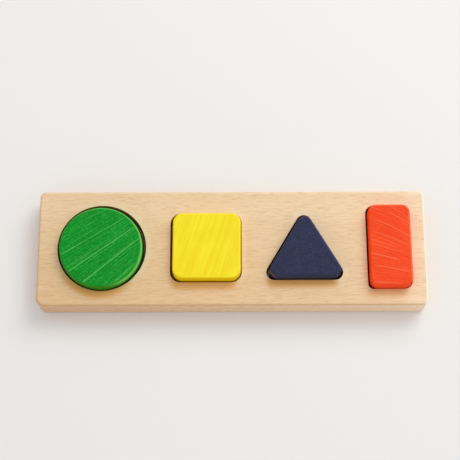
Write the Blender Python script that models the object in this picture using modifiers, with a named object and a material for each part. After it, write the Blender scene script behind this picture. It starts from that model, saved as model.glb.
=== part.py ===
"""Baby puzzle: a beech tray with four pockets, each holding one stained wooden block.

Lengths are in metres, +Z is up. The origin is the middle of the tray's underside, and X runs
along the tray. Every pocket follows its own block: it is the block's outline with the block's
play added all round and its corners as round as the block's, sunk to the tray's floor. The tray
is as long and as wide as its pockets and walls make it.
"""

import math

import bmesh
import bpy
from mathutils import Vector

# Blocks
BLOCK_THICKNESS = 0.022
BLOCK_EDGE_ROUNDING = 0.0017
DISC_DIAMETER = 0.0637
SQUARE_SIDE = 0.0525
SQUARE_CORNER = 0.008
TRIANGLE_BASE = 0.0635
TRIANGLE_HEIGHT = 0.054
TRIANGLE_CORNER = 0.006
RECTANGLE_WIDTH = 0.0325
RECTANGLE_LENGTH = 0.0653
RECTANGLE_CORNER = 0.0064

# Room between a block's side and its pocket's wall, when the block lies in the middle
DISC_PLAY = 0.0023
SQUARE_PLAY = 0.00125
TRIANGLE_PLAY = 0.0011
RECTANGLE_PLAY = 0.0008

# Room left under a block where it rests on its pocket's floor
SEAT_GAP = 0.0003

# Where each block lies in its play, along X and Y: 0 is the middle and 1 touches the wall
DISC_LEAN = (-0.09, -0.6)
SQUARE_LEAN = (0.64, -0.28)
TRIANGLE_LEAN = (0.52, -0.45)
RECTANGLE_LEAN = (-0.15, -0.3)

# How far a block's ends swing sideways as it lies turned, as a share of its play,
# counter-clockwise from above
DISC_SWING = 0.0
SQUARE_SWING = -0.14
TRIANGLE_SWING = 0.12
RECTANGLE_SWING = 0.36

# Tray
LEFT_END_WALL = 0.0152
DISC_SQUARE_WEB = 0.0188
SQUARE_TRIANGLE_WEB = 0.0191
TRIANGLE_RECTANGLE_WEB = 0.0197
RIGHT_END_WALL = 0.0114
SIDE_WALL = 0.0119
FLOOR_THICKNESS = 0.0077
POCKET_DEPTH = 0.0143
TRAY_CORNER = 0.0045
TRAY_EDGE_ROUNDING = 0.0022
POCKET_RIM_ROUNDING = 0.0004

# Fineness of the curved surfaces
ARC_STEP = math.radians(11.25)
DISC_SIDES = 72
EDGE_SEGMENTS = 4
RIM_SEGMENTS = 2

# Edges sharper than the bevel angle are rounded, and those sharper than the sharp angle look so
BEVEL_ANGLE = math.radians(60)
SHARP_ANGLE = math.radians(40)

# Points nearer than this are one point, and faces meeting flatter than this are one face
WELD_DISTANCE = 0.00001
FLAT_ANGLE = math.radians(0.5)

# A pocket's cutter reaches this far above the tray's top
CUTTER_OVERRUN = 0.002

BEECH = {"colour": (0.80, 0.62, 0.42, 1.0), "roughness": 0.55}
GREEN_STAIN = {"colour": (0.015, 0.283, 0.030, 1.0), "roughness": 0.5}
YELLOW_STAIN = {"colour": (0.92, 0.75, 0.03, 1.0), "roughness": 0.5}
NAVY_STAIN = {"colour": (0.037, 0.042, 0.084, 1.0), "roughness": 0.5}
RED_STAIN = {"colour": (0.90, 0.089, 0.032, 1.0), "roughness": 0.5}

COLLECTION_NAME = "baby_puzzle"
CUTTER_COLLECTION_NAME = "pocket_cutters"


def clear_scene():
    """Remove every object of the open file."""
    for old in list(bpy.data.objects):
        bpy.data.objects.remove(old, do_unlink=True)


def new_collection(name):
    """An empty collection linked to the scene."""
    collection = bpy.data.collections.new(name)
    bpy.context.scene.collection.children.link(collection)
    return collection


def wood_material(name, finish):
    """A Principled material with one wood finish."""
    material = bpy.data.materials.new(name)
    material.use_nodes = True
    shader = material.node_tree.nodes["Principled BSDF"]
    shader.inputs["Base Color"].default_value = finish["colour"]
    shader.inputs["Roughness"].default_value = finish["roughness"]
    shader.inputs["Metallic"].default_value = 0.0
    return material


def rounded_outline(corners, radius):
    """Points round a convex outline, counter-clockwise, with an arc in place of each corner."""
    points = []
    count = len(corners)
    for index, corner in enumerate(corners):
        to_previous = (corners[index - 1] - corner).normalized()
        to_next = (corners[(index + 1) % count] - corner).normalized()
        half_angle = to_previous.angle(to_next) / 2
        inward = (to_previous + to_next).normalized()
        centre = corner + inward * (radius / math.sin(half_angle))
        turn = math.pi - 2 * half_angle
        steps = max(2, round(turn / ARC_STEP))
        outward_angle = math.atan2(-inward.y, -inward.x)
        for step in range(steps + 1):
            angle = outward_angle + turn * (step / steps - 0.5)
            points.append(centre + Vector((math.cos(angle), math.sin(angle))) * radius)
    return points


def rectangle_outline(width, length, corner):
    """A rectangle with round corners, about its middle."""
    x = width / 2
    y = length / 2
    corners = [Vector((-x, -y)), Vector((x, -y)), Vector((x, y)), Vector((-x, y))]
    return rounded_outline(corners, corner)


def triangle_outline(base, height, grow, corner):
    """A triangle with its base at the front, larger by a margin on all three sides.

    It lies about the centre of the circle that touches its sides, so scaling it moves them alike.
    """
    side = math.hypot(base / 2, height)
    inner_radius = base * height / (base + 2 * side)
    scale = 1 + grow / inner_radius
    corners = [
        Vector((-base / 2, -inner_radius)) * scale,
        Vector((base / 2, -inner_radius)) * scale,
        Vector((0.0, height - inner_radius)) * scale,
    ]
    return rounded_outline(corners, corner)


def object_from_mesh(name, mesh, collection):
    """A smooth-shaded object in a collection, for a closed mesh."""
    mesh.shade_smooth()
    mesh.set_sharp_from_angle(angle=SHARP_ANGLE)
    item = bpy.data.objects.new(name, mesh)
    collection.objects.link(item)
    return item


def slab_from_outline(name, outline, height, collection):
    """A slab of a given height over a flat outline, standing on Z = 0."""
    curve = bpy.data.curves.new(name + "_outline", "CURVE")
    curve.dimensions = "2D"
    curve.fill_mode = "BOTH"
    curve.extrude = height / 2
    spline = curve.splines.new("POLY")
    spline.points.add(len(outline) - 1)
    for spline_point, point in zip(spline.points, outline):
        spline_point.co = (point.x, point.y, 0.0, 1.0)
    spline.use_cyclic_u = True
    guide = bpy.data.objects.new(name + "_outline", curve)
    collection.objects.link(guide)

    depsgraph = bpy.context.evaluated_depsgraph_get()
    mesh = bpy.data.meshes.new_from_object(guide.evaluated_get(depsgraph))
    mesh.name = name
    bpy.data.objects.remove(guide, do_unlink=True)

    shape = bmesh.new()
    shape.from_mesh(mesh)
    bmesh.ops.remove_doubles(shape, verts=shape.verts, dist=WELD_DISTANCE)
    bmesh.ops.dissolve_limit(
        shape, angle_limit=FLAT_ANGLE, verts=shape.verts, edges=shape.edges
    )
    bmesh.ops.translate(shape, verts=shape.verts, vec=(0.0, 0.0, height / 2))
    bmesh.ops.recalc_face_normals(shape, faces=shape.faces)
    shape.to_mesh(mesh)
    shape.free()
    return object_from_mesh(name, mesh, collection)


def disc_slab(name, grow, height, collection):
    """The disc's shape, larger all round by a margin, standing on Z = 0."""
    radius = DISC_DIAMETER / 2 + grow
    mesh = bpy.data.meshes.new(name)
    shape = bmesh.new()
    bmesh.ops.create_cone(
        shape,
        cap_ends=True,
        segments=DISC_SIDES,
        radius1=radius,
        radius2=radius,
        depth=height,
    )
    bmesh.ops.translate(shape, verts=shape.verts, vec=(0.0, 0.0, height / 2))
    shape.to_mesh(mesh)
    shape.free()
    return object_from_mesh(name, mesh, collection)


def square_slab(name, grow, height, collection):
    """The square's shape, larger all round by a margin, standing on Z = 0."""
    side = SQUARE_SIDE + 2 * grow
    outline = rectangle_outline(side, side, SQUARE_CORNER)
    return slab_from_outline(name, outline, height, collection)


def triangle_slab(name, grow, height, collection):
    """The triangle's shape, larger all round by a margin, standing on Z = 0."""
    outline = triangle_outline(TRIANGLE_BASE, TRIANGLE_HEIGHT, grow, TRIANGLE_CORNER)
    return slab_from_outline(name, outline, height, collection)


def rectangle_slab(name, grow, height, collection):
    """The rectangle's shape, larger all round by a margin, standing on Z = 0."""
    width = RECTANGLE_WIDTH + 2 * grow
    length = RECTANGLE_LENGTH + 2 * grow
    outline = rectangle_outline(width, length, RECTANGLE_CORNER)
    return slab_from_outline(name, outline, height, collection)


BLOCKS = [
    {
        "name": "green_disc",
        "slab": disc_slab,
        "wall_before": LEFT_END_WALL,
        "play": DISC_PLAY,
        "lean": DISC_LEAN,
        "swing": DISC_SWING,
        "finish": GREEN_STAIN,
    },
    {
        "name": "yellow_square",
        "slab": square_slab,
        "wall_before": DISC_SQUARE_WEB,
        "play": SQUARE_PLAY,
        "lean": SQUARE_LEAN,
        "swing": SQUARE_SWING,
        "finish": YELLOW_STAIN,
    },
    {
        "name": "blue_triangle",
        "slab": triangle_slab,
        "wall_before": SQUARE_TRIANGLE_WEB,
        "play": TRIANGLE_PLAY,
        "lean": TRIANGLE_LEAN,
        "swing": TRIANGLE_SWING,
        "finish": NAVY_STAIN,
    },
    {
        "name": "red_rectangle",
        "slab": rectangle_slab,
        "wall_before": TRIANGLE_RECTANGLE_WEB,
        "play": RECTANGLE_PLAY,
        "lean": RECTANGLE_LEAN,
        "swing": RECTANGLE_SWING,
        "finish": RED_STAIN,
    },
]


def round_sharp_edges(item, name, width, segments):
    """A Bevel modifier that rounds every edge sharper than the bevel angle."""
    bevel = item.modifiers.new(name, "BEVEL")
    bevel.width = width
    bevel.segments = segments
    bevel.limit_method = "ANGLE"
    bevel.angle_limit = BEVEL_ANGLE


def make_cutter(block, collection):
    """The solid that a block's pocket takes out of the tray."""
    height = POCKET_DEPTH + CUTTER_OVERRUN
    cutter = block["slab"](block["name"] + "_pocket", block["play"], height, collection)
    cutter.display_type = "WIRE"
    cutter.hide_render = True
    return cutter


def place_cutters(cutters):
    """Set the cutters in a row, each in the middle of the tray's width, and return its size."""
    spans = []
    for cutter in cutters:
        xs = [vertex.co.x for vertex in cutter.data.vertices]
        ys = [vertex.co.y for vertex in cutter.data.vertices]
        spans.append((min(xs), max(xs), min(ys), max(ys)))
    tray_length = RIGHT_END_WALL
    for block, (left, right, front, back) in zip(BLOCKS, spans):
        tray_length += block["wall_before"] + right - left
    tray_width = max(back - front for left, right, front, back in spans) + 2 * SIDE_WALL

    edge = -tray_length / 2
    for block, cutter, (left, right, front, back) in zip(BLOCKS, cutters, spans):
        edge += block["wall_before"]
        cutter.location = (edge - left, -(front + back) / 2, FLOOR_THICKNESS)
        edge += right - left
    return tray_length, tray_width


def make_tray(length, width, cutters, collection):
    """The board, its outer edges rounded, with one blind pocket for each block."""
    outline = rectangle_outline(length, width, TRAY_CORNER)
    tray = slab_from_outline("tray", outline, FLOOR_THICKNESS + POCKET_DEPTH, collection)
    round_sharp_edges(tray, "outer_edges", TRAY_EDGE_ROUNDING, EDGE_SEGMENTS)
    for cutter in cutters:
        pocket = tray.modifiers.new(cutter.name, "BOOLEAN")
        pocket.operation = "DIFFERENCE"
        pocket.solver = "EXACT"
        pocket.object = cutter
    round_sharp_edges(tray, "pocket_edges", POCKET_RIM_ROUNDING, RIM_SEGMENTS)
    tray.data.materials.append(wood_material("beech", BEECH))
    return tray


def make_block(block, cutter, collection):
    """One stained block with rounded edges, resting where it leans in its pocket."""
    item = block["slab"](block["name"], 0.0, BLOCK_THICKNESS, collection)
    round_sharp_edges(item, "edges", BLOCK_EDGE_ROUNDING, EDGE_SEGMENTS)
    shift = Vector(block["lean"]) * block["play"]
    item.location = cutter.location + Vector((shift.x, shift.y, SEAT_GAP))
    reach = max(vertex.co.xy.length for vertex in item.data.vertices)
    item.rotation_euler.z = block["swing"] * block["play"] / reach
    item.data.materials.append(wood_material(block["name"] + "_stain", block["finish"]))
    return item


def main():
    """Model the tray and its blocks."""
    clear_scene()
    parts = new_collection(COLLECTION_NAME)
    guides = new_collection(CUTTER_COLLECTION_NAME)
    cutters = [make_cutter(block, guides) for block in BLOCKS]
    tray_length, tray_width = place_cutters(cutters)
    make_tray(tray_length, tray_width, cutters, parts)
    for block, cutter in zip(BLOCKS, cutters):
        make_block(block, cutter, parts)


main()
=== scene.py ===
"""Looks of the baby puzzle: finely modelled wooden pieces, their finishes, floor, light and camera.

Lengths are in metres in the shared frame, and in millimetres within the materials. Each piece is
built anew from its outline and set to the box of the CAD node that it stands for.
"""

import math

import bmesh
import bpy
import numpy as np
from mathutils import Matrix, Vector, noise
from mathutils.geometry import delaunay_2d_cdt


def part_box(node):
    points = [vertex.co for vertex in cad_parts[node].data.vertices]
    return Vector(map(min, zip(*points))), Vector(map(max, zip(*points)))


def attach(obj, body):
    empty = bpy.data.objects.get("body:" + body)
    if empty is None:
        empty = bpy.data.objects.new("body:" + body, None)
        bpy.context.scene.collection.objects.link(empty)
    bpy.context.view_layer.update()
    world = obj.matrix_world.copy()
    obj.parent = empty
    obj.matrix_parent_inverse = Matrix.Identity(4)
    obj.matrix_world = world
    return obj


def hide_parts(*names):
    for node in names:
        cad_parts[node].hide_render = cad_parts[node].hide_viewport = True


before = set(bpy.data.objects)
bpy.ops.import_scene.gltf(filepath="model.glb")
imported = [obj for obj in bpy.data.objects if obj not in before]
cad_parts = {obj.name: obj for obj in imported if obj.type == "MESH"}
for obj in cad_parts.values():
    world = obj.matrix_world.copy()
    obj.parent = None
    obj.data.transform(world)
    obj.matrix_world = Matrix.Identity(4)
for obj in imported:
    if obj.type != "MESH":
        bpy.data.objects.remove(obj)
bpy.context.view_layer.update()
tray_low, tray_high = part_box("tray")

# Millimetres in a metre
MM = 1000.0

# Plan sizes of the blocks' sharp-cornered outlines, and their corner radii
DISC_DIAMETER = 0.0637
SQUARE_SIDE = 0.0525
SQUARE_CORNER = 0.008
TRIANGLE_BASE = 0.0635
TRIANGLE_HEIGHT = 0.054
TRIANGLE_CORNER = 0.006
RECTANGLE_WIDTH = 0.0325
RECTANGLE_LENGTH = 0.0653
RECTANGLE_CORNER = 0.0064

# The angle that the triangle's right side faces
TRIANGLE_FACING = math.atan2(TRIANGLE_BASE / 2, TRIANGLE_HEIGHT)

# The front left corner of the rectangle's pocket, which is sharper than the block's
RECTANGLE_POCKET_CORNER = 0.0042

# Room between a block's side and its pocket's wall
DISC_PLAY = 0.0023
SQUARE_PLAY = 0.00125
TRIANGLE_PLAY = 0.00122
RECTANGLE_PLAY = 0.0008

# How far each block lies turned in its pocket, counter-clockwise from above
SQUARE_TURN = math.radians(-0.297)
TRIANGLE_TURN = math.radians(0.248)
RECTANGLE_TURN = math.radians(0.479)

# Roundings. The tray's corners start at the front left and go round counter-clockwise
TRAY_CORNERS = [0.0065, 0.006, 0.0045, 0.0045]
TRAY_EDGE = 0.0022
POCKET_RIM = 0.00035
POCKET_FOOT = 0.0004
BLOCK_EDGE = 0.0017

# Shares by which the edge roundings vary along their length, and how fast they do
TRAY_EDGE_VARIES = 0.10
TRAY_EDGE_PATCH = 0.05
BLOCK_EDGE_VARIES = 0.12
BLOCK_EDGE_PACE = 1.3

# How closely a block's more worn edge keeps to its direction
SOFTENED_POWER = 3

# Fineness of the meshes
ARC_STEP = math.radians(5)
DISC_STEPS = 144
RUN_STEP = 0.0022
EDGE_STEPS = 8
RIM_STEPS = 4
FACE_STEP = 0.003
WALL_STEP = 0.0027

# Each rounding is followed by a loop of points at this distance, which keeps flat faces flat
SUPPORT = 0.00012

# Points within a flat face keep this far from its borders
BORDER_GAP = 0.55 * FACE_STEP

# Points nearer than this count as one while a face is divided into triangles
MERGE_DISTANCE = 1e-8

# How much straight borders are bent while a face is divided into triangles
BOW = 2.0

# Rows of an even grid of triangles lie this share of a step apart
ROW_SHARE = math.sqrt(3) / 2

# Hand sanding leaves a face this much out of true at most, in patches of this size
SANDING = 0.00005
SANDING_PATCH = 0.022

# Rings of a rounded edge beyond this angle are sanded with the flat face, the others with the side
FACE_ANGLE = 0.8

# Starting points of each piece's own unevenness
TRAY_SEED = 3.7
BLOCK_SEED = 11.3
BLOCK_SEED_STEP = 7.9
BLOCK_SEED_SPREAD = 5.1

# A pocket's points lie within this distance of its block's box
POCKET_MARGIN = 0.004

# Lines that touch an outline, from each flat side to the next
TOUCHES = 4

# Depth of the finest relief
RELIEF = 0.00004

# In millimetres: how far back and right a pocket lies from the shadow painted before it, the
# width of the beech's growth rings, and how gradually a bold saw mark ends
PAINTED_SHADOW_SHIFT = (1.6, 8.2, 0.0)
RING_WIDTH = 4.2
MARK_FADE = 4.0

# Half the width of the floor
FLOOR_REACH = 3.0

# Colours of the floor and the backdrop, in display values
FLOOR_COLOUR = (241, 240, 238)
BACKDROP_COLOUR = (241, 239, 235)

# Soft light: a fill from all round, a little stronger from the front left, and a large lamp
# behind, to the right
FILL_STRENGTH = 0.672
FILL_LEAN = (-0.13, -0.17, 0.0)
FILL_COLOUR = (0.995, 1.0, 1.015, 1.0)
KEY_AZIMUTH = math.radians(50)
KEY_ELEVATION = math.radians(46)
KEY_DISTANCE = 2.4
KEY_WIDTH = 1.65
KEY_HEIGHT = 1.65
KEY_POWER = 27.4
KEY_COLOUR = (1.0, 0.985, 0.955)

# Camera, fitted to the tray's edges in the photograph
LENS = 98.945
SENSOR = 36.0
CAMERA_PLACE = Vector((0.003833, -0.27818, 0.957745))
CAMERA_ELEVATION = math.radians(72.667)
CAMERA_YAW = math.radians(-0.973)
CAMERA_ROLL = math.radians(-1.115)
CAMERA_SHIFT = 0.5 / 460


def display_colour(red, green, blue):
    """A linear colour from display values of 0 to 255."""
    linear = []
    for value in (red, green, blue):
        share = value / 255
        linear.append(share / 12.92 if share <= 0.04045 else ((share + 0.055) / 1.055) ** 2.4)
    return (*linear, 1.0)


class Nodes:
    """One material, and short ways to add nodes to it. Coordinates are in millimetres."""

    def __init__(self, name):
        self.material = bpy.data.materials.new(name)
        self.material.use_nodes = True
        self.tree = self.material.node_tree
        self.shader = self.tree.nodes["Principled BSDF"]
        self.coordinates = self.tree.nodes.new("ShaderNodeTexCoord")

    def put(self, socket, value):
        """Link a socket to another's output, or give it a plain value."""
        if isinstance(value, bpy.types.NodeSocket):
            self.tree.links.new(value, socket)
        else:
            socket.default_value = value

    def add(self, kind, **settings):
        """A new node with some of its settings changed."""
        node = self.tree.nodes.new(kind)
        for name, value in settings.items():
            setattr(node, name, value)
        return node

    def maths(self, operation, first, second=0.0, third=0.0):
        """The result of one operation on plain numbers."""
        node = self.add("ShaderNodeMath", operation=operation)
        for socket, value in zip(node.inputs, (first, second, third)):
            self.put(socket, value)
        return node.outputs[0]

    def vector_maths(self, operation, first, second=(0.0, 0.0, 0.0), third=(0.0, 0.0, 0.0)):
        """The result of one operation on vectors."""
        node = self.add("ShaderNodeVectorMath", operation=operation)
        for socket, value in zip(node.inputs, (first, second, third)):
            self.put(socket, value)
        if operation in ("DOT_PRODUCT", "LENGTH", "DISTANCE"):
            return node.outputs["Value"]
        return node.outputs["Vector"]

    def place(self):
        """Where a point of the piece is, in millimetres."""
        return self.vector_maths("MULTIPLY", self.coordinates.outputs["Object"], (MM, MM, MM))

    def split(self, place):
        """The three coordinates of a place."""
        node = self.add("ShaderNodeSeparateXYZ")
        self.put(node.inputs[0], place)
        return node.outputs

    def facing(self, direction):
        """How far a surface faces a direction: 1 towards it, -1 away from it."""
        return self.vector_maths("DOT_PRODUCT", self.coordinates.outputs["Normal"], direction)

    def facing_up(self):
        """1 on a flat top or underside, 0 on an upright side."""
        return self.maths("ABSOLUTE", self.facing((0.0, 0.0, 1.0)))

    def noise_node(self, place, size, offset, detail, roughness):
        """A node of smooth noise, with patches of a given size along each axis."""
        scale = [1 / length for length in size]
        node = self.add("ShaderNodeTexNoise")
        self.put(node.inputs["Vector"], self.vector_maths("MULTIPLY_ADD", place, scale, offset))
        self.put(node.inputs["Scale"], 1.0)
        self.put(node.inputs["Detail"], detail)
        self.put(node.inputs["Roughness"], roughness)
        return node

    def cloud(self, place, size, offset, detail=1.0, roughness=0.5):
        """Smooth noise from 0 to 1, with patches of a given size along each axis."""
        offsets = (offset, offset * 0.7, offset * 0.4)
        return self.noise_node(place, size, offsets, detail, roughness).outputs["Fac"]

    def bent(self, place, size, reach, offset):
        """The place, moved about by noise of a given size by up to a given reach."""
        node = self.noise_node(place, size, (offset, offset, offset), 1.0, 0.5)
        centred = self.vector_maths("SUBTRACT", node.outputs["Color"], (0.5, 0.5, 0.5))
        return self.vector_maths("MULTIPLY_ADD", centred, reach, place)

    def step(self, value, low, high, out_low=0.0, out_high=1.0):
        """A smooth step between two values."""
        node = self.add("ShaderNodeMapRange", interpolation_type="SMOOTHSTEP")
        for name, number in (
            ("Value", value),
            ("From Min", low),
            ("From Max", high),
            ("To Min", out_low),
            ("To Max", out_high),
        ):
            self.put(node.inputs[name], number)
        return node.outputs["Result"]

    def band(self, value, rise, fall):
        """1 from the end of a rise to the start of a fall, and 0 before and after them."""
        risen = self.step(value, *rise)
        return self.maths("MULTIPLY", risen, self.step(value, *fall, 1.0, 0.0))

    def mixed(self, share, first, second):
        """Two colours mixed."""
        node = self.add("ShaderNodeMix", data_type="RGBA")
        self.put(node.inputs[0], share)
        self.put(node.inputs[6], first)
        self.put(node.inputs[7], second)
        return node.outputs[2]

    def tinted(self, tone, mask, share, colour):
        """A tone with a share of a colour, where the mask is 1."""
        return self.mixed(self.maths("MULTIPLY", mask, share), tone, colour)

    def surface(self, colour, roughness, gloss, relief=None):
        """The material, given its colour, roughness, gloss and a height map of its relief."""
        self.put(self.shader.inputs["Base Color"], colour)
        self.put(self.shader.inputs["Roughness"], roughness)
        self.put(self.shader.inputs["Specular IOR Level"], gloss)
        if relief is not None:
            bump = self.add("ShaderNodeBump")
            self.put(bump.inputs["Height"], relief)
            self.put(bump.inputs["Distance"], RELIEF)
            self.put(bump.inputs["Strength"], 1.0)
            self.put(self.shader.inputs["Normal"], bump.outputs["Normal"])
        return self.material

    def saw_coordinates(self, place, middle, angle, fan, bend):
        """Distances across and along saw marks that fan out and bend, in millimetres."""
        local = self.vector_maths("SUBTRACT", place, (*middle, 0.0))
        along = self.vector_maths("DOT_PRODUCT", local, (math.cos(angle), math.sin(angle), 0.0))
        across = self.vector_maths("DOT_PRODUCT", local, (-math.sin(angle), math.cos(angle), 0.0))
        bow = self.maths("MULTIPLY", self.maths("MULTIPLY", along, along), bend)
        spread = self.maths("MULTIPLY_ADD", along, fan, 1.0)
        return self.maths("DIVIDE", self.maths("SUBTRACT", across, bow), spread), along

    def beyond(self, place, outline, angles):
        """How far a place lies outside a convex outline, in millimetres.

        It is the largest distance in front of the lines that touch the outline at the given
        angles. An outline without angles is a circle.
        """
        if not angles:
            middle = middle_of(outline)
            radius = (outline[0][0] - middle).length * MM
            flat = self.vector_maths("MULTIPLY", place, (1.0, 1.0, 0.0))
            off = self.vector_maths("DISTANCE", flat, (*(middle * MM), 0.0))
            return self.maths("SUBTRACT", off, radius)
        distances = []
        for angle in angles:
            direction = Vector((math.cos(angle), math.sin(angle)))
            reach = max(point.dot(direction) for point, normal in outline) * MM
            off = self.vector_maths("DOT_PRODUCT", place, (*direction, 0.0))
            distances.append(self.maths("SUBTRACT", off, reach))
        largest = distances[0]
        for distance in distances[1:]:
            largest = self.maths("MAXIMUM", largest, distance)
        return largest

    def line(self, across, along, at, half_width, start, end):
        """1 on a thin line at a given distance across, between two distances along."""
        off = self.maths("ABSOLUTE", self.maths("SUBTRACT", across, at))
        beside = self.step(off, 0.0, half_width, 1.0, 0.0)
        begun = (start - MARK_FADE, start + MARK_FADE)
        ended = (end - MARK_FADE, end + MARK_FADE)
        return self.maths("MULTIPLY", beside, self.band(along, begun, ended))


BEECH = {
    "front_dark": display_colour(225, 186, 142),
    "front_pale": display_colour(240, 208, 166),
    "back_dark": display_colour(239, 208, 167),
    "back_pale": display_colour(247, 220, 182),
    "far_end": display_colour(255, 228, 196),
    "late_wood": display_colour(224, 186, 138),
    "pale_grain": display_colour(253, 226, 186),
    "dusky_grain": display_colour(218, 178, 130),
    "fleck": display_colour(198, 152, 102),
    "painted_shadow": display_colour(220, 156, 66),
    "painted_light": display_colour(255, 236, 202),
    "side_dark": display_colour(221, 178, 138),
    "side_pale": display_colour(255, 223, 192),
    "side_fleck": display_colour(182, 136, 100),
    "end_grain": display_colour(196, 148, 98),
    "shaded_edge": display_colour(196, 144, 84),
    "painted_highlight_edge": display_colour(255, 247, 226),
    "pocket_floor": display_colour(212, 164, 104),
    "pocket_wall": display_colour(188, 126, 48),
}


def round_pockets(nodes, place, cloudy, pockets):
    """How much shadow is painted before each pocket, and how much light is painted behind it."""
    painted_shadow = 0.0
    painted_light = 0.0
    for outline, touches, painted_shadow_strength in pockets:
        middle = middle_of(outline)
        to_front = max(middle.y - point.y for point, normal in outline) * MM
        local = nodes.vector_maths("SUBTRACT", place, (*(middle * MM), 0.0))
        forward = nodes.vector_maths("DOT_PRODUCT", local, (-0.15, -1.0, 0.0))
        before = nodes.step(forward, to_front * 0.45, to_front * 1.04, 0.0, painted_shadow_strength)
        moved = nodes.vector_maths("ADD", place, PAINTED_SHADOW_SHIFT)
        shadow_reach = nodes.beyond(moved, outline, touches)
        shadow_reach = nodes.step(nodes.maths("MULTIPLY_ADD", cloudy, 2.0, shadow_reach), -4.0, 1.4, 1.0, 0.0)
        painted_shadow = nodes.maths("MAXIMUM", painted_shadow, nodes.maths("MULTIPLY", shadow_reach, before))
        backward = nodes.vector_maths("DOT_PRODUCT", local, (0.8, 0.6, 0.0))
        toward_lamp = nodes.step(backward, -2.0, 12.0, 0.0, 0.36)
        rim = nodes.step(nodes.beyond(place, outline, touches), 0.5, 6.5, 1.0, 0.0)
        painted_light = nodes.maths("MAXIMUM", painted_light, nodes.maths("MULTIPLY", rim, toward_lamp))
    return painted_shadow, painted_light


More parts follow.
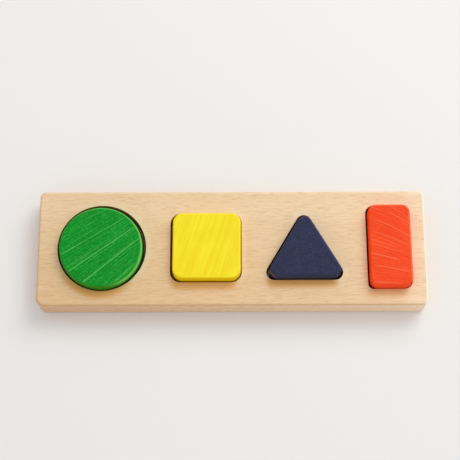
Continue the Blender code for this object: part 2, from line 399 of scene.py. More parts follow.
def beech_material(pockets):
    """Fine sanded beech: long wavy grain, short dark flecks, growth rings and a drift of tone.

    It carries a painted shadow before the given pockets, which makes it a little darker there,
    and painted light behind them, which makes it a little paler.
    """
    nodes = Nodes("beech_wood")
    place = nodes.place()
    x, y, z = nodes.split(place)
    wavy = nodes.bent(place, (34.0, 14.0, 14.0), (0.0, 3.4, 1.6), 4.0)
    wavy = nodes.bent(wavy, (8.0, 4.5, 6.0), (0.0, 0.9, 0.4), 1.7)

    # Grain and short flecks, drawn out along the board
    grain = nodes.cloud(wavy, (12.0, 0.9, 2.6), 31.7, detail=1.5)
    pale = nodes.step(grain, 0.45, 0.72)
    dusk = nodes.step(grain, 0.28, 0.52, 1.0, 0.0)
    fleck = nodes.cloud(wavy, (6.5, 0.42, 2.0), 11.3, detail=0.5)
    dark = nodes.step(fleck, 0.56, 0.76)

    # Growth rings about a pith that lies below the board
    pith = nodes.vector_maths("MULTIPLY", wavy, (0.02, 1.0, 1.0))
    pith = nodes.vector_maths("SUBTRACT", pith, (0.0, 13.0, -74.0))
    radius = nodes.vector_maths("LENGTH", pith)
    ring = nodes.maths("FRACT", nodes.maths("MULTIPLY", radius, 1 / RING_WIDTH))
    late = nodes.band(ring, (0.25, 0.92), (0.93, 1.0))

    # A slow drift of tone, darkest at the front left
    cloudy = nodes.cloud(place, (80.0, 22.0, 22.0), 2.2, detail=2.0)
    rightward = nodes.step(nodes.maths("MULTIPLY_ADD", cloudy, 60.0, x), -170.0, 220.0)
    front = nodes.mixed(rightward, BEECH["front_dark"], BEECH["front_pale"])
    back = nodes.mixed(rightward, BEECH["back_dark"], BEECH["back_pale"])
    tone = nodes.mixed(nodes.step(y, -52.0, 52.0), front, back)
    tone = nodes.mixed(nodes.step(x, 122.0, 146.0, 0.0, 0.65), tone, BEECH["far_end"])

    tone = nodes.tinted(tone, late, 0.18, BEECH["late_wood"])
    tone = nodes.tinted(tone, pale, 0.22, BEECH["pale_grain"])
    tone = nodes.tinted(tone, dusk, 0.24, BEECH["dusky_grain"])
    tone = nodes.tinted(tone, dark, 0.40, BEECH["fleck"])

    # Painted shadow before each pocket and painted light behind it, on the top face
    painted_shadow, painted_light = round_pockets(nodes, place, cloudy, pockets)
    top = nodes.step(z, 19.0, 21.5)
    tone = nodes.tinted(tone, painted_shadow, top, BEECH["painted_shadow"])
    tone = nodes.tinted(tone, painted_light, top, BEECH["painted_light"])

    # The upright sides, with flecks of their own
    up = nodes.facing_up()
    upright = nodes.step(up, 0.3, 0.9, 1.0, 0.0)
    side = nodes.mixed(rightward, BEECH["side_dark"], BEECH["side_pale"])
    tone = nodes.tinted(tone, upright, 0.65, side)
    rays = nodes.step(nodes.cloud(wavy, (5.0, 0.8, 1.1), 17.4), 0.50, 0.72)
    rays = nodes.maths("MULTIPLY", rays, nodes.step(rightward, 0.3, 0.9, 0.42, 0.15))
    tone = nodes.tinted(tone, upright, rays, BEECH["side_fleck"])

    # Pores and rings on the two ends
    end_on = nodes.step(nodes.maths("ABSOLUTE", nodes.facing((1.0, 0.0, 0.0))), 0.6, 0.95)
    pores = nodes.step(nodes.cloud(wavy, (2.0, 0.5, 0.5), 7.9), 0.55, 0.8)
    end_grain = nodes.maths("MULTIPLY", nodes.maths("MAXIMUM", pores, late), 0.35)
    tone = nodes.tinted(tone, end_on, end_grain, BEECH["end_grain"])

    # Rounded edges: painted shade to the front and left, a painted highlight to the right
    arris = nodes.band(up, (0.3, 0.6), (0.85, 0.99))
    away_from_lamp = nodes.step(nodes.facing((-0.6, -0.8, 0.0)), 0.1, 0.6, 0.0, 0.4)
    tone = nodes.tinted(tone, arris, away_from_lamp, BEECH["shaded_edge"])
    wear_and_highlight_edge = nodes.band(up, (0.0, 0.3), (0.93, 0.995))
    facing_right = nodes.step(nodes.facing((0.97, 0.24, 0.0)), 0.1, 0.4, 0.0, 0.85)
    tone = nodes.tinted(tone, wear_and_highlight_edge, facing_right, BEECH["painted_highlight_edge"])

    # Floors and walls of the pockets, darker and warmer: painted shade in the recesses
    inner_x = nodes.step(nodes.maths("ABSOLUTE", x), 143.0, 145.0, 1.0, 0.0)
    inner_y = nodes.step(nodes.maths("ABSOLUTE", y), 37.0, 40.0, 1.0, 0.0)
    within = nodes.maths("MULTIPLY", inner_x, inner_y)
    sunk = nodes.maths("MULTIPLY", within, nodes.band(z, (2.0, 5.0), (19.5, 21.0)))
    tone = nodes.tinted(tone, sunk, 0.5, BEECH["pocket_floor"])
    routed = nodes.maths("MULTIPLY", upright, within)
    tone = nodes.tinted(tone, routed, 0.85, BEECH["pocket_wall"])

    roughness = nodes.step(fleck, 0.3, 0.7, 0.5, 0.6)
    relief = nodes.maths("SUBTRACT", nodes.maths("MULTIPLY", grain, 0.6), dark)
    return nodes.surface(tone, roughness, gloss=0.12, relief=relief)


# Each stain's colours, its edges paler with wear and painted highlight, and its saw marks, in
# millimetres. Such an edge is given by a direction and by how far a surface faces it where the
# wear and painted highlight start and where they are full. The saw marks have a middle, an angle,
# a fan, a bend and a pitch, and each bold one is given by its distance across, half its width, its
# start and end along, and its strength. The values for wear and painted highlight, bright, dark,
# mottled and streaks are strengths too.
STAINS = {
    "green_stain": {
        "colour": display_colour(18, 153, 46),
        "deep": display_colour(8, 124, 28),
        "pale": display_colour(112, 212, 108),
        "side": display_colour(60, 142, 26),
        "wear_and_highlight": display_colour(124, 224, 98),
        "wear_and_highlight_strength": 0.9,
        "wear_and_highlight_edge": [(math.radians(-30.0), 0.0, 0.5), (math.radians(30.0), -0.35, 0.15)],
        "middle": (-100.8, -1.4),
        "angle": math.radians(35.0),
        "fan": -0.0055,
        "bend": 0.0,
        "pitch": 2.1,
        "bright": 0.27,
        "dark": 0.5,
        "mottled": 0.7,
        "streaks": 0.0,
        "lines": [
            (-13.5, 0.40, -29.0, 30.0, 1.0),
            (-1.9, 0.40, -34.0, 31.0, 0.9),
            (10.6, 0.36, -28.0, -8.0, 0.9),
            (10.6, 0.34, -10.0, 29.0, 0.5),
            (-28.2, 0.36, -22.0, 14.0, 0.85),
            (-12.4, 0.30, 2.0, 24.0, 0.6),
            (1.0, 0.32, -31.0, 0.0, 0.55),
            (0.1, 0.30, 4.0, 26.0, 0.4),
        ],
    },
    "yellow_stain": {
        "colour": display_colour(254, 236, 50),
        "deep": display_colour(244, 212, 34),
        "pale": display_colour(255, 240, 70),
        "side": display_colour(242, 206, 0),
        "wear_and_highlight": display_colour(255, 244, 80),
        "wear_and_highlight_strength": 0.45,
        "wear_and_highlight_edge": [(0.0, 0.1, 0.95)],
        "middle": (-19.4, -0.35),
        "angle": math.radians(72.0),
        "fan": 0.0,
        "bend": 0.0,
        "pitch": 3.4,
        "bright": 0.2,
        "dark": 0.3,
        "mottled": 0.15,
        "streaks": 0.45,
        "lines": [],
    },
    "navy_stain": {
        "colour": display_colour(52, 57, 84),
        "deep": display_colour(44, 46, 68),
        "pale": display_colour(70, 78, 116),
        "side": display_colour(54, 57, 74),
        "wear_and_highlight": display_colour(124, 94, 62),
        "wear_and_highlight_strength": 0.6,
        "wear_and_highlight_edge": [(math.radians(-150.0), 0.55, 1.0)],
        "middle": (56.2, -0.5),
        "angle": math.radians(-8.0),
        "fan": 0.0,
        "bend": 0.0,
        "pitch": 2.0,
        "bright": 0.2,
        "dark": 0.3,
        "mottled": 0.8,
        "streaks": 0.0,
        "lines": [],
    },
    "red_stain": {
        "colour": display_colour(252, 82, 38),
        "deep": display_colour(234, 56, 22),
        "pale": display_colour(255, 138, 98),
        "side": display_colour(255, 66, 2),
        "wear_and_highlight": display_colour(255, 100, 56),
        "wear_and_highlight_strength": 0.45,
        "wear_and_highlight_edge": [(math.radians(-90.0), 0.1, 0.95)],
        "middle": (121.4, -0.24),
        "angle": math.radians(-20.0),
        "fan": -0.0105,
        "bend": -0.0025,
        "pitch": 1.9,
        "bright": 0.34,
        "dark": 0.5,
        "mottled": 0.25,
        "streaks": 0.0,
        "lines": [
            (-10.1, 0.40, -12.0, 10.0, 0.9),
            (-18.4, 0.38, -6.0, 22.0, 0.8),
            (-31.6, 0.38, -4.0, 20.0, 0.8),
            (22.6, 0.32, -10.0, 12.0, 0.6),
            (27.0, 0.32, -12.0, 10.0, 0.6),
            (13.6, 0.36, -18.0, 14.0, 0.6),
            (5.3, 0.36, -14.0, 20.0, 0.7),
            (-0.7, 0.32, -14.0, 4.0, 0.5),
            (-3.0, 0.32, -14.0, 4.0, 0.5),
        ],
    },
}


def saw_marks(nodes, place, stain):
    """How bright and how dim a stained face is along its saw marks."""
    across, along = nodes.saw_coordinates(
        place, stain["middle"], stain["angle"], stain["fan"], stain["bend"]
    )
    combined = nodes.add("ShaderNodeCombineXYZ")
    nodes.put(combined.inputs["X"], along)
    nodes.put(combined.inputs["Y"], across)
    sawn = combined.outputs[0]

    uneven = nodes.maths("MULTIPLY", nodes.cloud(sawn, (40.0, 5.0, 1.0), 3.1), 2.5)
    turns = nodes.maths("MULTIPLY_ADD", across, 1 / stain["pitch"], uneven)
    tooth = nodes.maths("SINE", nodes.maths("MULTIPLY", turns, 2 * math.pi))

    cut = nodes.step(nodes.cloud(sawn, (20.0, 1.3, 1.0), 8.6), 0.36, 0.66)
    bright = nodes.maths("MULTIPLY", nodes.step(tooth, 0.70, 0.99), cut)
    bright = nodes.maths("MULTIPLY", bright, stain["bright"])
    for at, half_width, start, end, strength in stain["lines"]:
        line = nodes.line(across, along, at, half_width, start, end)
        bright = nodes.maths("MAXIMUM", bright, nodes.maths("MULTIPLY", line, strength))

    shallow = nodes.step(nodes.cloud(sawn, (16.0, 1.3, 1.0), 15.2), 0.38, 0.66)
    dim = nodes.maths("MULTIPLY", nodes.step(tooth, -0.98, -0.4, 1.0, 0.0), shallow)
    dim = nodes.maths("MULTIPLY", dim, stain["dark"])
    streaks = nodes.cloud(sawn, (60.0, 2.6, 1.0), 27.0)
    streaks = nodes.step(streaks, 0.38, 0.62, stain["streaks"], 0.0)
    return bright, nodes.maths("MAXIMUM", dim, streaks)


def stain_material(name):
    """Stained wood: mottled colour, saw marks on the flat faces, and edges paler with wear and
    painted highlight.
    """
    stain = STAINS[name]
    nodes = Nodes(name)
    place = nodes.place()
    up = nodes.facing_up()
    flat = nodes.step(up, 0.93, 0.995)
    upright = nodes.step(up, 0.60, 0.99, 1.0, 0.0)
    arris = nodes.band(up, (0.45, 0.8), (0.96, 0.999))
    shoulder = nodes.step(nodes.split(place)["Z"], 22.5, 26.5)
    shoulder = nodes.maths("MULTIPLY", shoulder, nodes.step(up, 0.5, 0.93, 1.0, 0.0))
    bright, dim = saw_marks(nodes, place, stain)
    bright = nodes.maths("MULTIPLY", bright, flat)

    # The stain takes unevenly, and the wood's grain shows through it
    mottle = nodes.cloud(place, (1.1, 1.1, 1.1), 5.5, roughness=0.6)
    patches = nodes.cloud(place, (16.0, 16.0, 16.0), 9.1)
    wood = nodes.bent(place, (20.0, 9.0, 9.0), (0.0, 1.5, 1.5), 6.0)
    fleck = nodes.cloud(wood, (3.6, 0.5, 1.0), 21.0)
    figure = nodes.cloud(wood, (13.0, 1.5, 1.2), 33.0, detail=1.5)

    tone = nodes.mixed(nodes.step(patches, 0.40, 0.62, 0.25, 0.0), stain["colour"], stain["deep"])
    tone = nodes.mixed(nodes.step(mottle, 0.30, 0.60, stain["mottled"], 0.0), tone, stain["deep"])
    specks = nodes.step(mottle, 0.55, 0.80, 0.0, 0.4 * stain["mottled"])
    tone = nodes.mixed(specks, tone, stain["pale"])
    # The upright sides have a colour of their own, with painted shade and warm bounce light
    tone = nodes.mixed(upright, tone, stain["side"])
    tone = nodes.mixed(nodes.step(fleck, 0.54, 0.74, 0.0, 0.25), tone, stain["deep"])
    veins = nodes.step(figure, 0.46, 0.72, 0.0, 0.45)
    tone = nodes.tinted(tone, upright, veins, stain["deep"])
    gleams = nodes.step(figure, 0.28, 0.46, 0.10, 0.0)
    tone = nodes.tinted(tone, upright, gleams, stain["pale"])
    tone = nodes.tinted(tone, flat, dim, stain["deep"])
    tone = nodes.mixed(bright, tone, stain["pale"])

    # Wear and painted highlight on the upper edge, and a painted highlight on the rim behind
    wear_and_highlight = nodes.maths("MULTIPLY", shoulder, nodes.step(mottle, 0.3, 0.6, 0.75, 1.0))
    for direction, low, high in stain["wear_and_highlight_edge"]:
        towards = (math.cos(direction), math.sin(direction), 0.0)
        wear_and_highlight = nodes.maths("MULTIPLY", wear_and_highlight, nodes.step(nodes.facing(towards), low, high))
    tone = nodes.tinted(tone, wear_and_highlight, stain["wear_and_highlight_strength"], stain["wear_and_highlight"])
    toward_lamp = nodes.step(nodes.facing((0.6, 0.8, 0.0)), 0.0, 0.3, 0.0, 0.5)
    tone = nodes.tinted(tone, arris, toward_lamp, stain["pale"])

    roughness = nodes.step(mottle, 0.3, 0.7, 0.42, 0.52)
    relief = nodes.maths("SUBTRACT", bright, dim)
    return nodes.surface(tone, roughness, gloss=0.06, relief=relief)


def rounded_outline(corners, radii):
    """Points round a convex outline, counter-clockwise, each with its outward normal."""
    arcs = []
    count = len(corners)
    for index, (corner, radius) in enumerate(zip(corners, radii)):
        to_previous = (corners[index - 1] - corner).normalized()
        to_next = (corners[(index + 1) % count] - corner).normalized()
        half_angle = to_previous.angle(to_next) / 2
        inward = (to_previous + to_next).normalized()
        centre = corner + inward * (radius / math.sin(half_angle))
        turn = math.pi - 2 * half_angle
        steps = round(turn / ARC_STEP)
        outward_angle = math.atan2(-inward.y, -inward.x)
        arc = []
        for step in range(steps + 1):
            angle = outward_angle + turn * (step / steps - 0.5)
            normal = Vector((math.cos(angle), math.sin(angle)))
            arc.append((centre + normal * radius, normal))
        arcs.append(arc)

    outline = []
    for index, arc in enumerate(arcs):
        outline += arc
        start, normal = arc[-1]
        end = arcs[(index + 1) % count][0][0]
        runs = max(1, round((end - start).length / RUN_STEP))
        outline += [(start.lerp(end, run / runs), normal) for run in range(1, runs)]
    return outline


def disc_outline(grow):
    """The disc's outline, larger all round by a margin."""
    outline = []
    for step in range(DISC_STEPS):
        angle = 2 * math.pi * step / DISC_STEPS
        normal = Vector((math.cos(angle), math.sin(angle)))
        outline.append((normal * (DISC_DIAMETER / 2 + grow), normal))
    return outline


def rectangle_outline(width, length, radii):
    """A rectangle with round corners, about its middle. The radii start at the front left."""
    x = width / 2
    y = length / 2
    corners = [Vector((-x, -y)), Vector((x, -y)), Vector((x, y)), Vector((-x, y))]
    return rounded_outline(corners, radii)


def square_block_outline(grow):
    """The square's outline, larger all round by a margin."""
    side = SQUARE_SIDE + 2 * grow
    return rectangle_outline(side, side, [SQUARE_CORNER] * 4)


def triangle_block_outline(grow):
    """The triangle's outline, larger all round by a margin."""
    flank = math.hypot(TRIANGLE_BASE / 2, TRIANGLE_HEIGHT)
    inner_radius = TRIANGLE_BASE * TRIANGLE_HEIGHT / (TRIANGLE_BASE + 2 * flank)
    scale = 1 + grow / inner_radius
    corners = [
        Vector((-TRIANGLE_BASE / 2, -inner_radius)) * scale,
        Vector((TRIANGLE_BASE / 2, -inner_radius)) * scale,
        Vector((0.0, TRIANGLE_HEIGHT - inner_radius)) * scale,
    ]
    return rounded_outline(corners, [TRIANGLE_CORNER] * 3)


def rectangle_block_outline(grow):
    """The rectangle's outline, larger all round by a margin."""
    return rectangle_outline(
        RECTANGLE_WIDTH + 2 * grow, RECTANGLE_LENGTH + 2 * grow, [RECTANGLE_CORNER] * 4
    )


def rectangle_pocket_outline(grow):
    """The rectangle's pocket, which has a sharper front left corner than the block."""
    return rectangle_outline(
        RECTANGLE_WIDTH + 2 * grow,
        RECTANGLE_LENGTH + 2 * grow,
        [RECTANGLE_POCKET_CORNER, RECTANGLE_CORNER, RECTANGLE_CORNER, RECTANGLE_CORNER],
    )


def touching_angles(sides):
    """The angles that an outline's flat sides face, with more of them round each corner between."""
    angles = []
    for side, after in zip(sides, sides[1:] + sides[:1]):
        turn = (after - side) % (2 * math.pi)
        angles += [side + turn * step / TOUCHES for step in range(TOUCHES)]
    return angles


# Each block's node, body, stain and outline, how it is turned, and how its pocket differs. Its edge
# is more worn in the direction called softened. The lines at the angles called touches enclose its
# pocket, and a strength is given for the shadow painted on the wood before it.
BLOCKS = [
    {
        "node": "green_disc",
        "body": "disc",
        "stain": "green_stain",
        "outline": disc_outline,
        "pocket_turn": 0.0,
        "play": DISC_PLAY,
        "turn": 0.0,
        "softened": math.radians(-48.0),
        "softer": 0.3,
        "touches": [],
        "painted_shadow_strength": 0.72,
        "pocket_shift": Vector((0.0, 0.0)),
    },
    {
        "node": "yellow_square",
        "body": "square",
        "stain": "yellow_stain",
        "outline": square_block_outline,
        "pocket_turn": 0.0,
        "play": SQUARE_PLAY,
        "turn": SQUARE_TURN,
        "softened": 0.0,
        "softer": 0.12,
        "touches": touching_angles([0.0, math.pi / 2, math.pi, -math.pi / 2]),
        "painted_shadow_strength": 0.64,
        "pocket_shift": Vector((0.0, 0.0)),
    },
    {
        "node": "blue_triangle",
        "body": "triangle",
        "stain": "navy_stain",
        "outline": triangle_block_outline,
        "pocket_turn": 0.0,
        "play": TRIANGLE_PLAY,
        "turn": TRIANGLE_TURN,
        "softened": 0.0,
        "softer": 0.1,
        "touches": touching_angles([TRIANGLE_FACING, math.pi - TRIANGLE_FACING, -math.pi / 2]),
        "painted_shadow_strength": 0.76,
        "pocket_shift": Vector((0.0001, 0.0001)),
    },
    {
        "node": "red_rectangle",
        "body": "rectangle",
        "stain": "red_stain",
        "outline": rectangle_block_outline,
        "pocket_outline": rectangle_pocket_outline,
        "pocket_turn": RECTANGLE_TURN,
        "play": RECTANGLE_PLAY,
        "turn": RECTANGLE_TURN,
        "softened": math.radians(-90.0),
        "softer": 0.3,
        "touches": touching_angles([0.0, math.pi / 2, math.pi, -math.pi / 2]),
        "painted_shadow_strength": 0.42,
        "pocket_shift": Vector((-0.0005, 0.00035)),
    },
]


def middle_of(outline):
    """The middle of an outline's box."""
    xs = [point.x for point, normal in outline]
    ys = [point.y for point, normal in outline]
    return Vector(((min(xs) + max(xs)) / 2, (min(ys) + max(ys)) / 2))


def set_outline(outline, turn, low, high):
    """The outline, turned about Z and moved so that its box lies in the middle of another."""
    rotation = Matrix.Rotation(turn, 2)
    turned = [(rotation @ point, rotation @ normal) for point, normal in outline]
    shift = (Vector(low[:2]) + Vector(high[:2])) / 2 - middle_of(turned)
    return [(point + shift, normal) for point, normal in turned]


def pocket_box(node):
    """The lowest and highest corner of the pocket round a block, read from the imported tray."""
    low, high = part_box(node)
    found = []
    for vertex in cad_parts["tray"].data.vertices:
        x, y, z = vertex.co
        near = low.x - POCKET_MARGIN < x < high.x + POCKET_MARGIN
        near = near and low.y - POCKET_MARGIN < y < high.y + POCKET_MARGIN
        if near and POCKET_MARGIN < z < tray_high.z - POCKET_MARGIN:
            found.append(vertex.co)
    lowest = Vector([min(point[axis] for point in found) for axis in range(3)])
    highest = Vector([max(point[axis] for point in found) for axis in range(3)])
    highest.z = tray_high.z
    return lowest, highest


def out_of_true(x, y, z, seed):
    """How far hand sanding has lowered a surface at a place: between 0 and the sanding limit."""
    place = Vector((x / SANDING_PATCH + seed, y / SANDING_PATCH, z / SANDING_PATCH))
    return SANDING * (0.5 + 0.5 * max(-1.0, min(1.0, noise.noise(place))))


def add_ring(shape, outline, insets, heights, seed, sign):
    """A closed loop of points: the outline moved inward and set to a height, point by point.

    Sanding takes a little off: from above where sign is 1, from below where it is -1, and from the
    side where it is 0.
    """
    loop = []
    for (point, normal), inset, height in zip(outline, insets, heights):
        lowered = out_of_true(point.x, point.y, height, seed)
        x, y = point - normal * (inset + lowered * (sign == 0))
        loop.append(shape.verts.new((x, y, height - sign * lowered)))
    return loop


def bridge(shape, lower, upper, outward=True):
    """Four-sided faces between two loops of the same count."""
    count = len(lower)
    for index in range(count):
        after = (index + 1) % count
        corners = [lower[index], lower[after], upper[after], upper[index]]
        if not outward:
            corners.reverse()
        shape.faces.new(corners)


def inside(points, loop):
    """Which points lie inside a closed loop, by counting the loop's crossings."""
    result = np.zeros(len(points), bool)
    x, y = points[:, 0], points[:, 1]
    for (x1, y1), (x2, y2) in zip(loop, np.roll(loop, -1, axis=0)):
        if y1 == y2:
            continue
        crosses = (y1 > y) != (y2 > y)
        result ^= crosses & (x < (x2 - x1) * (y - y1) / (y2 - y1) + x1)
    return result


def bowed(points, centre):
    """Points pulled in more the farther out they lie, which bends straight lines outward."""
    out = points - centre
    return out * (1 - BOW * (out ** 2).sum(axis=1, keepdims=True))


def fill(shape, border, holes, height, seed, sign):
    """Even triangles over a flat face between its border and its holes, facing up for sign 1.

    The triangles are found with straight borders bent a little, as no triangle then lies along one.
    They face down for sign -1.
    """
    loops = [border, *holes]
    flat_loops = [np.array([vertex.co.xy for vertex in loop]) for loop in loops]
    low = flat_loops[0].min(axis=0)
    high = flat_loops[0].max(axis=0)
    centre = (low + high) / 2
    grid = []
    rows = math.ceil((high[1] - low[1]) / (FACE_STEP * ROW_SHARE))
    columns = math.ceil((high[0] - low[0]) / FACE_STEP)
    for row in range(1, rows):
        for column in range(columns + 1):
            x = low[0] + (column + 0.5 * (row % 2)) * FACE_STEP
            grid.append((x, low[1] + row * FACE_STEP * ROW_SHARE))
    grid = np.array(grid)
    edge_points = np.concatenate(flat_loops)
    gaps = np.sqrt(((grid[:, None, :] - edge_points[None, :, :]) ** 2).sum(axis=2)).min(axis=1)
    kept = inside(grid, flat_loops[0]) & (gaps > BORDER_GAP)
    for loop in flat_loops[1:]:
        kept &= ~inside(grid, loop)

    vertices = [vertex for loop in loops for vertex in loop]
    edges = []
    start = 0
    for loop in loops:
        count = len(loop)
        edges += [(start + index, start + (index + 1) % count) for index in range(count)]
        start += count
    for x, y in grid[kept]:
        lowered = out_of_true(x, y, height, seed)
        vertices.append(shape.verts.new((x, y, height - sign * lowered)))

    bent = bowed(np.array([vertex.co.xy for vertex in vertices]), centre)
    points = [Vector(point) for point in bent]
    triangles, sources = delaunay_2d_cdt(points, edges, [], 0, MERGE_DISTANCE)[2:4]
    corners_of = [[sources[corner][0] for corner in triangle] for triangle in triangles]
    middles = np.array([bent[corners].mean(axis=0) for corners in corners_of])
    wanted = inside(middles, bowed(flat_loops[0], centre))
    for loop in flat_loops[1:]:
        wanted &= ~inside(middles, bowed(loop, centre))
    for corners, keep in zip(corners_of, wanted):
        if not keep:
            continue
        face = shape.faces.new([vertices[corner] for corner in corners])
        face.normal_update()
        if face.normal.z * sign < 0:
            face.normal_flip()


def rounding(count):
    """Angles from an upright side, 0, to a flat face, a right angle."""
    return [math.pi / 2 * step / count for step in range(count + 1)]


def solid_sides(shape, outline, bottom, top, widths, seed):
    """The rounded edges and the side of a slab, as loops. Returns the lowest and highest loop."""
    count = len(outline)
    on_face = [width + SUPPORT for width in widths]
    loops = [add_ring(shape, outline, on_face, [bottom] * count, seed, -1)]
    for angle in reversed(rounding(EDGE_STEPS)):
        insets = [width * (1 - math.cos(angle)) for width in widths]
        heights = [bottom + width * (1 - math.sin(angle)) for width in widths]
        sign = -1 if angle > FACE_ANGLE else 0
        loops.append(add_ring(shape, outline, insets, heights, seed, sign))
    steps = max(2, round((top - bottom) / WALL_STEP))
    for step in range(steps + 1):
        share = step / steps
        heights = []
        for width in widths:
            start = bottom + width + SUPPORT
            heights.append(start + (top - width - SUPPORT - start) * share)
        loops.append(add_ring(shape, outline, [0.0] * count, heights, seed, 0))
    for angle in rounding(EDGE_STEPS):
        insets = [width * (1 - math.cos(angle)) for width in widths]
        heights = [top - width * (1 - math.sin(angle)) for width in widths]
        sign = 1 if angle > FACE_ANGLE else 0
        loops.append(add_ring(shape, outline, insets, heights, seed, sign))
    loops.append(add_ring(shape, outline, on_face, [top] * count, seed, 1))
    for lower, upper in zip(loops, loops[1:]):
        bridge(shape, lower, upper)
    return loops[0], loops[-1]


def pocket_walls(shape, outline, floor, top, seed):
    """A pocket's rounded rim, wall and foot. Returns the loop on the tray's face and the lowest."""
    profile = [(-POCKET_RIM - SUPPORT, top)]
    for angle in reversed(rounding(RIM_STEPS)):
        height = top - POCKET_RIM * (1 - math.sin(angle))
        profile.append((-POCKET_RIM * (1 - math.cos(angle)), height))
    high = top - POCKET_RIM - SUPPORT
    low = floor + POCKET_FOOT + SUPPORT
    steps = max(2, round((high - low) / WALL_STEP))
    for step in range(steps + 1):
        profile.append((0.0, high + (low - high) * step / steps))
    for angle in rounding(RIM_STEPS):
        height = floor + POCKET_FOOT * (1 - math.sin(angle))
        profile.append((POCKET_FOOT * (1 - math.cos(angle)), height))
    profile.append((POCKET_FOOT + SUPPORT, floor))

    count = len(outline)
    loops = []
    for inset, height in profile:
        loops.append(add_ring(shape, outline, [inset] * count, [height] * count, seed, 1))
    for upper, lower in zip(loops, loops[1:]):
        bridge(shape, lower, upper, outward=False)
    return loops[0], loops[-1]


def finish_piece(name, shape, material, body, node):
    """A smooth-shaded object that rides on a body and stands for a CAD node."""
    bmesh.ops.recalc_face_normals(shape, faces=shape.faces)
    mesh = bpy.data.meshes.new(name)
    shape.to_mesh(mesh)
    shape.free()
    mesh.shade_smooth()
    mesh.materials.append(material)
    piece = bpy.data.objects.new(name, mesh)
    bpy.context.scene.collection.objects.link(piece)
    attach(piece, body)
    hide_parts(node)


def make_block(block, seed):
    """One stained block, set to its CAD node's box."""
    low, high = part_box(block["node"])
    outline = set_outline(block["outline"](0.0), block["turn"], low, high)
    softened = Vector((math.cos(block["softened"]), math.sin(block["softened"])))
    shift = seed * BLOCK_SEED_SPREAD
    widths = []
    for point, normal in outline:
        place = Vector((normal.x * BLOCK_EDGE_PACE + shift, normal.y * BLOCK_EDGE_PACE, 0.0))
        uneven = BLOCK_EDGE_VARIES * noise.noise(place)
        softer = block["softer"] * max(0.0, normal.dot(softened)) ** SOFTENED_POWER
        widths.append(BLOCK_EDGE * (1 + uneven + softer))
    shape = bmesh.new()
    lowest, highest = solid_sides(shape, outline, low.z, high.z, widths, seed)
    fill(shape, lowest, [], low.z, seed, -1)
    fill(shape, highest, [], high.z, seed, 1)
    material = stain_material(block["stain"])
    name = block["node"] + "_block"
    finish_piece(name, shape, material, block["body"], block["node"])


def make_tray(seed):
    """The beech board with its four pockets, set to the CAD tray's box."""
    size = tray_high - tray_low
    outline = rectangle_outline(size.x, size.y, TRAY_CORNERS)
    outline = set_outline(outline, 0.0, tray_low, tray_high)
    widths = []
    for point, normal in outline:
        place = Vector((point.x / TRAY_EDGE_PATCH, point.y / TRAY_EDGE_PATCH, seed))
        widths.append(TRAY_EDGE * (1 + TRAY_EDGE_VARIES * noise.noise(place)))
    shape = bmesh.new()
    lowest, highest = solid_sides(shape, outline, tray_low.z, tray_high.z, widths, seed)
    fill(shape, lowest, [], tray_low.z, seed, -1)
    mouths = []
    pockets = []
    for block in BLOCKS:
        low, high = pocket_box(block["node"])
        pocket = block.get("pocket_outline", block["outline"])(block["play"])
        pocket = set_outline(pocket, block["pocket_turn"], low, high)
        pocket = [(point + block["pocket_shift"], normal) for point, normal in pocket]
        mouth, foot = pocket_walls(shape, pocket, low.z, high.z, seed)
        fill(shape, foot, [], low.z, seed, 1)
        mouths.append(mouth)
        pockets.append((pocket, block["touches"], block["painted_shadow_strength"]))
    fill(shape, highest, mouths, tray_high.z, seed, 1)
    finish_piece("tray_board", shape, beech_material(pockets), "tray", "tray")


def make_floor():
    """A plain pale floor that keeps the shadow."""
    nodes = Nodes("floor_paint")
    material = nodes.surface(display_colour(*FLOOR_COLOUR), 0.7, gloss=0.2)
    mesh = bpy.data.meshes.new("floor")
    reach = FLOOR_REACH
    front = [(-reach, -reach, 0.0), (reach, -reach, 0.0)]
    back = [(reach, reach, 0.0), (-reach, reach, 0.0)]
    mesh.from_pydata(front + back, [], [(0, 1, 2, 3)])
    mesh.materials.append(material)
    floor = bpy.data.objects.new("floor", mesh)
    bpy.context.scene.collection.objects.link(floor)


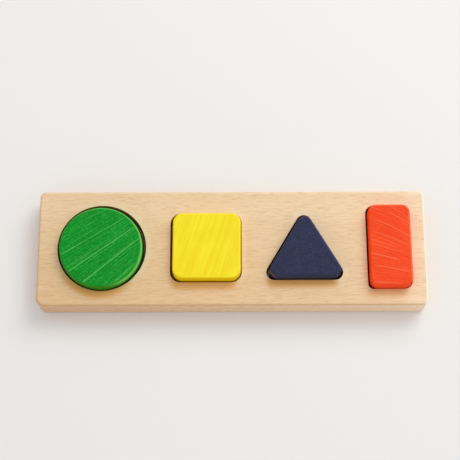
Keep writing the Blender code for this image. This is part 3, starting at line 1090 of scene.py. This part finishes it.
def make_world():
    """Even light from all round, which the camera and gloss see as a pale backdrop."""
    world = bpy.data.worlds.new("studio")
    bpy.context.scene.world = world
    world.use_nodes = True
    tree = world.node_tree
    fill_light = tree.nodes["Background"]
    fill_light.inputs["Color"].default_value = FILL_COLOUR
    direction = tree.nodes.new("ShaderNodeTexCoord")
    lean = tree.nodes.new("ShaderNodeVectorMath")
    lean.operation = "DOT_PRODUCT"
    lean.inputs[1].default_value = FILL_LEAN
    tree.links.new(direction.outputs["Generated"], lean.inputs[0])
    strength = tree.nodes.new("ShaderNodeMath")
    strength.operation = "MULTIPLY_ADD"
    strength.inputs[1].default_value = FILL_STRENGTH
    strength.inputs[2].default_value = FILL_STRENGTH
    tree.links.new(lean.outputs["Value"], strength.inputs[0])
    tree.links.new(strength.outputs[0], fill_light.inputs["Strength"])
    backdrop = tree.nodes.new("ShaderNodeBackground")
    backdrop.inputs["Color"].default_value = display_colour(*BACKDROP_COLOUR)
    backdrop.inputs["Strength"].default_value = 1.0
    path = tree.nodes.new("ShaderNodeLightPath")
    seen = tree.nodes.new("ShaderNodeMath")
    seen.operation = "MAXIMUM"
    tree.links.new(path.outputs["Is Camera Ray"], seen.inputs[0])
    glossy = tree.nodes.new("ShaderNodeMath")
    glossy.operation = "MAXIMUM"
    tree.links.new(path.outputs["Is Glossy Ray"], glossy.inputs[0])
    tree.links.new(path.outputs["Is Transmission Ray"], glossy.inputs[1])
    tree.links.new(glossy.outputs[0], seen.inputs[1])
    mix = tree.nodes.new("ShaderNodeMixShader")
    tree.links.new(seen.outputs[0], mix.inputs["Fac"])
    tree.links.new(fill_light.outputs[0], mix.inputs[1])
    tree.links.new(backdrop.outputs[0], mix.inputs[2])
    tree.links.new(mix.outputs[0], tree.nodes["World Output"].inputs["Surface"])


def make_key_light():
    """One large soft light behind the object, to its right."""
    data = bpy.data.lights.new("key", "AREA")
    data.shape = "RECTANGLE"
    data.size = KEY_WIDTH
    data.size_y = KEY_HEIGHT
    data.energy = KEY_POWER
    data.color = KEY_COLOUR
    key = bpy.data.objects.new("key", data)
    bpy.context.scene.collection.objects.link(key)
    level = math.cos(KEY_ELEVATION)
    direction = Vector(
        (
            math.cos(KEY_AZIMUTH) * level,
            math.sin(KEY_AZIMUTH) * level,
            math.sin(KEY_ELEVATION),
        )
    )
    key.location = direction * KEY_DISTANCE
    key.rotation_euler = direction.to_track_quat("Z", "Y").to_euler()


def make_camera():
    """The photograph's camera."""
    data = bpy.data.cameras.new("camera")
    data.sensor_width = SENSOR
    data.lens = LENS
    data.shift_x = -CAMERA_SHIFT
    data.shift_y = CAMERA_SHIFT
    data.clip_start = 0.05
    data.clip_end = 50.0
    camera = bpy.data.objects.new("camera", data)
    bpy.context.scene.collection.objects.link(camera)
    level = math.cos(CAMERA_ELEVATION)
    forward = Vector(
        (
            math.sin(CAMERA_YAW) * level,
            math.cos(CAMERA_YAW) * level,
            -math.sin(CAMERA_ELEVATION),
        )
    )
    right = Vector((math.cos(CAMERA_YAW), -math.sin(CAMERA_YAW), 0.0))
    up = right.cross(forward)
    roll = Matrix.Rotation(CAMERA_ROLL, 3, -forward)
    axes = Matrix((roll @ right, roll @ up, -forward)).transposed()
    camera.matrix_world = Matrix.Translation(CAMERA_PLACE) @ axes.to_4x4()
    bpy.context.scene.camera = camera


make_camera()
make_world()
make_key_light()
make_floor()
make_tray(TRAY_SEED)
for number, block in enumerate(BLOCKS):
    make_block(block, BLOCK_SEED + number * BLOCK_SEED_STEP)

bpy.context.scene.view_settings.view_transform = "Standard"
